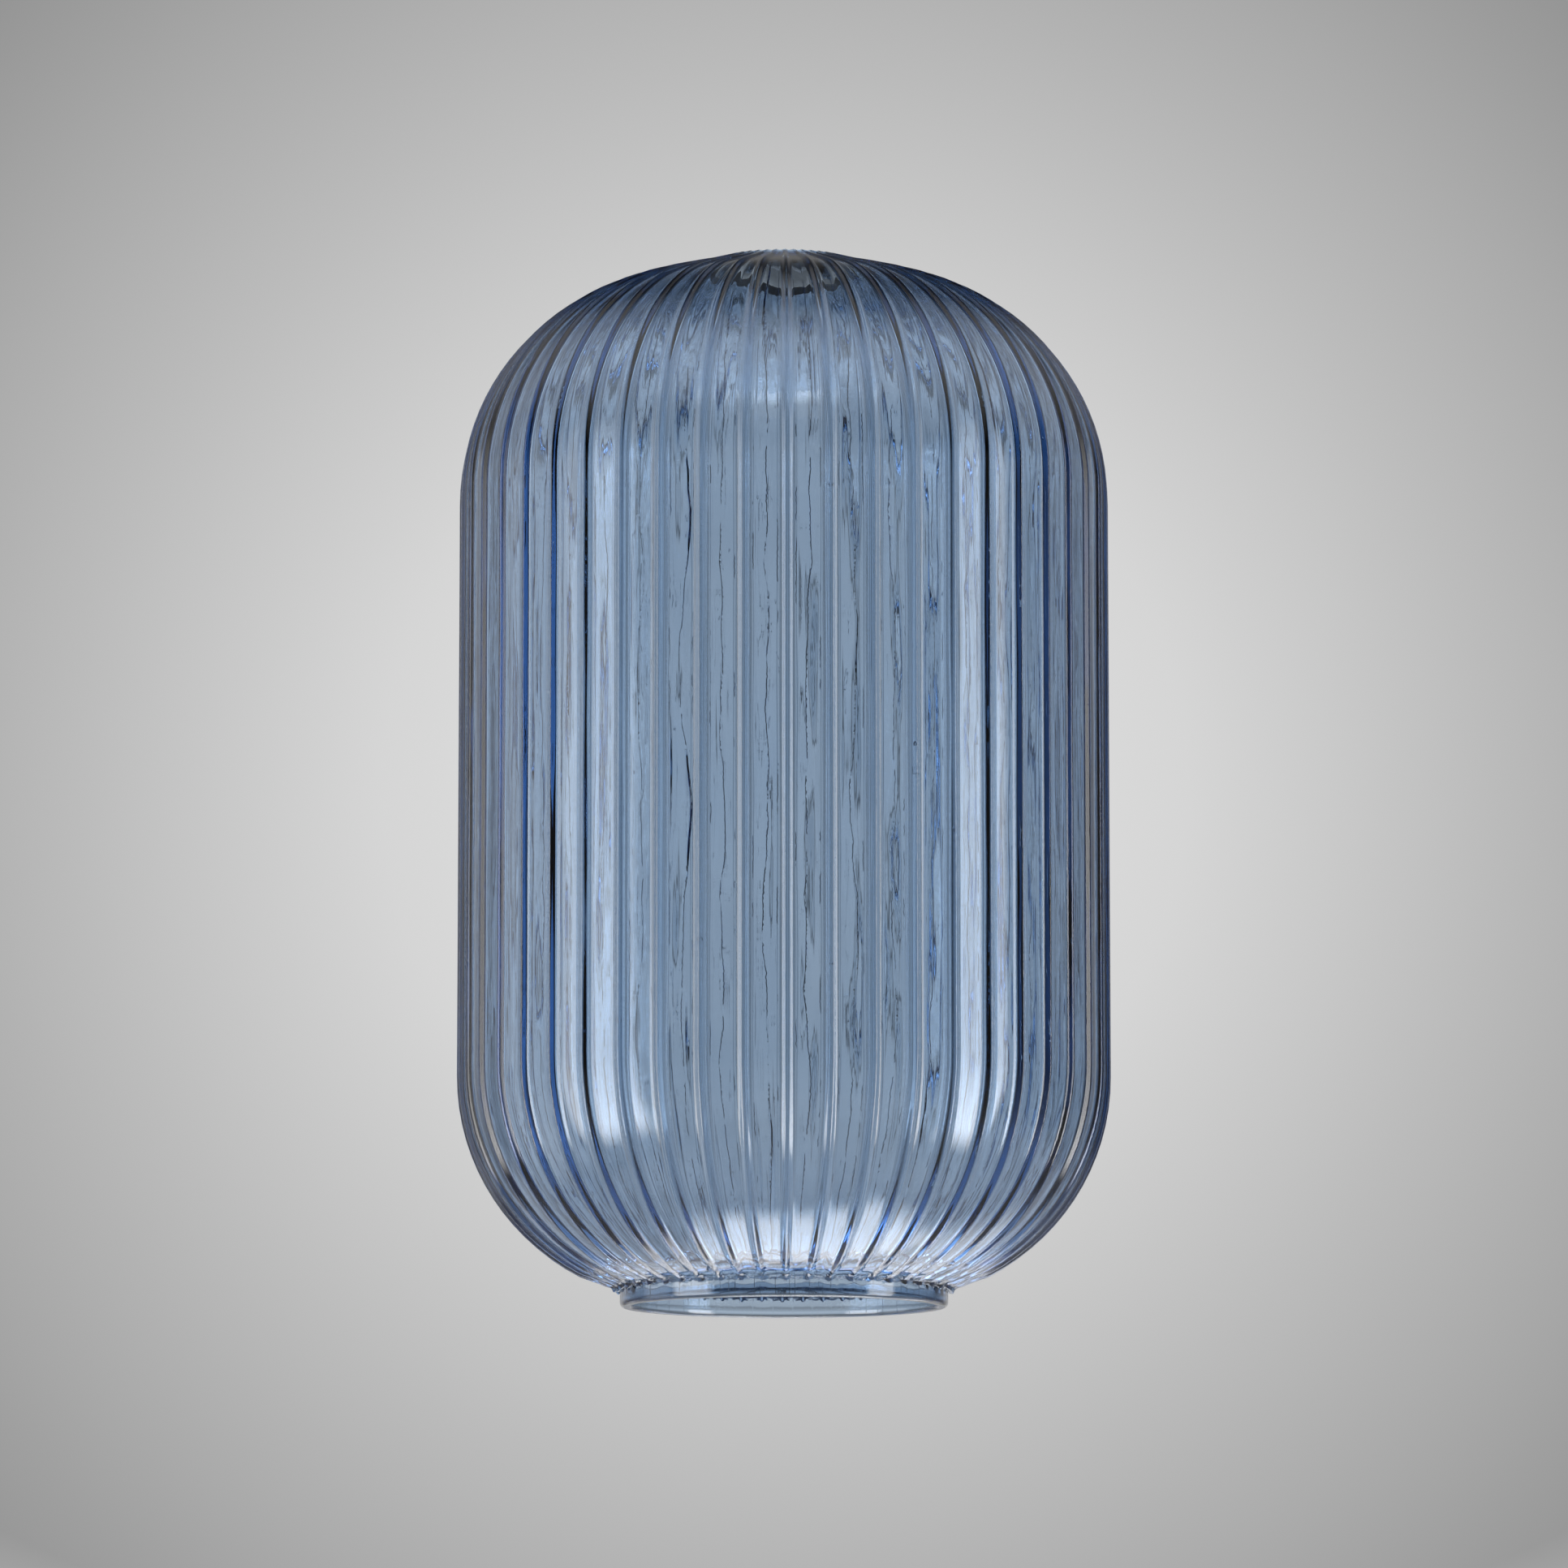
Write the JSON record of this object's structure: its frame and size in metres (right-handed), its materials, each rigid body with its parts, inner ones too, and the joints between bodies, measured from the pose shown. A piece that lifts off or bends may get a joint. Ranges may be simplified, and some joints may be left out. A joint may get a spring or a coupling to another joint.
{
  "type": "ribbed glass lamp shade",
  "caption": "Tall capsule lamp shade in ribbed blue glass with an open collared foot and a round lampholder hole in its crown.",
  "frame": {"origin": "centre of the ground rim at the open foot of the shade, in the plane of the rim", "axes": "+Z along the axis of the shade, from the open foot up to the lampholder hole; the ribs are evenly spaced about it"},
  "size_m": [0.2, 0.2, 0.3239],
  "materials": {
    "blue_glass": "clear steel-blue soda-lime glass, fire-polished, ribbed outside, rippled inside, ground rim"
  },
  "bodies": {
    "root": {"glass_shade": "blue_glass"}
  },
  "joints": []
}
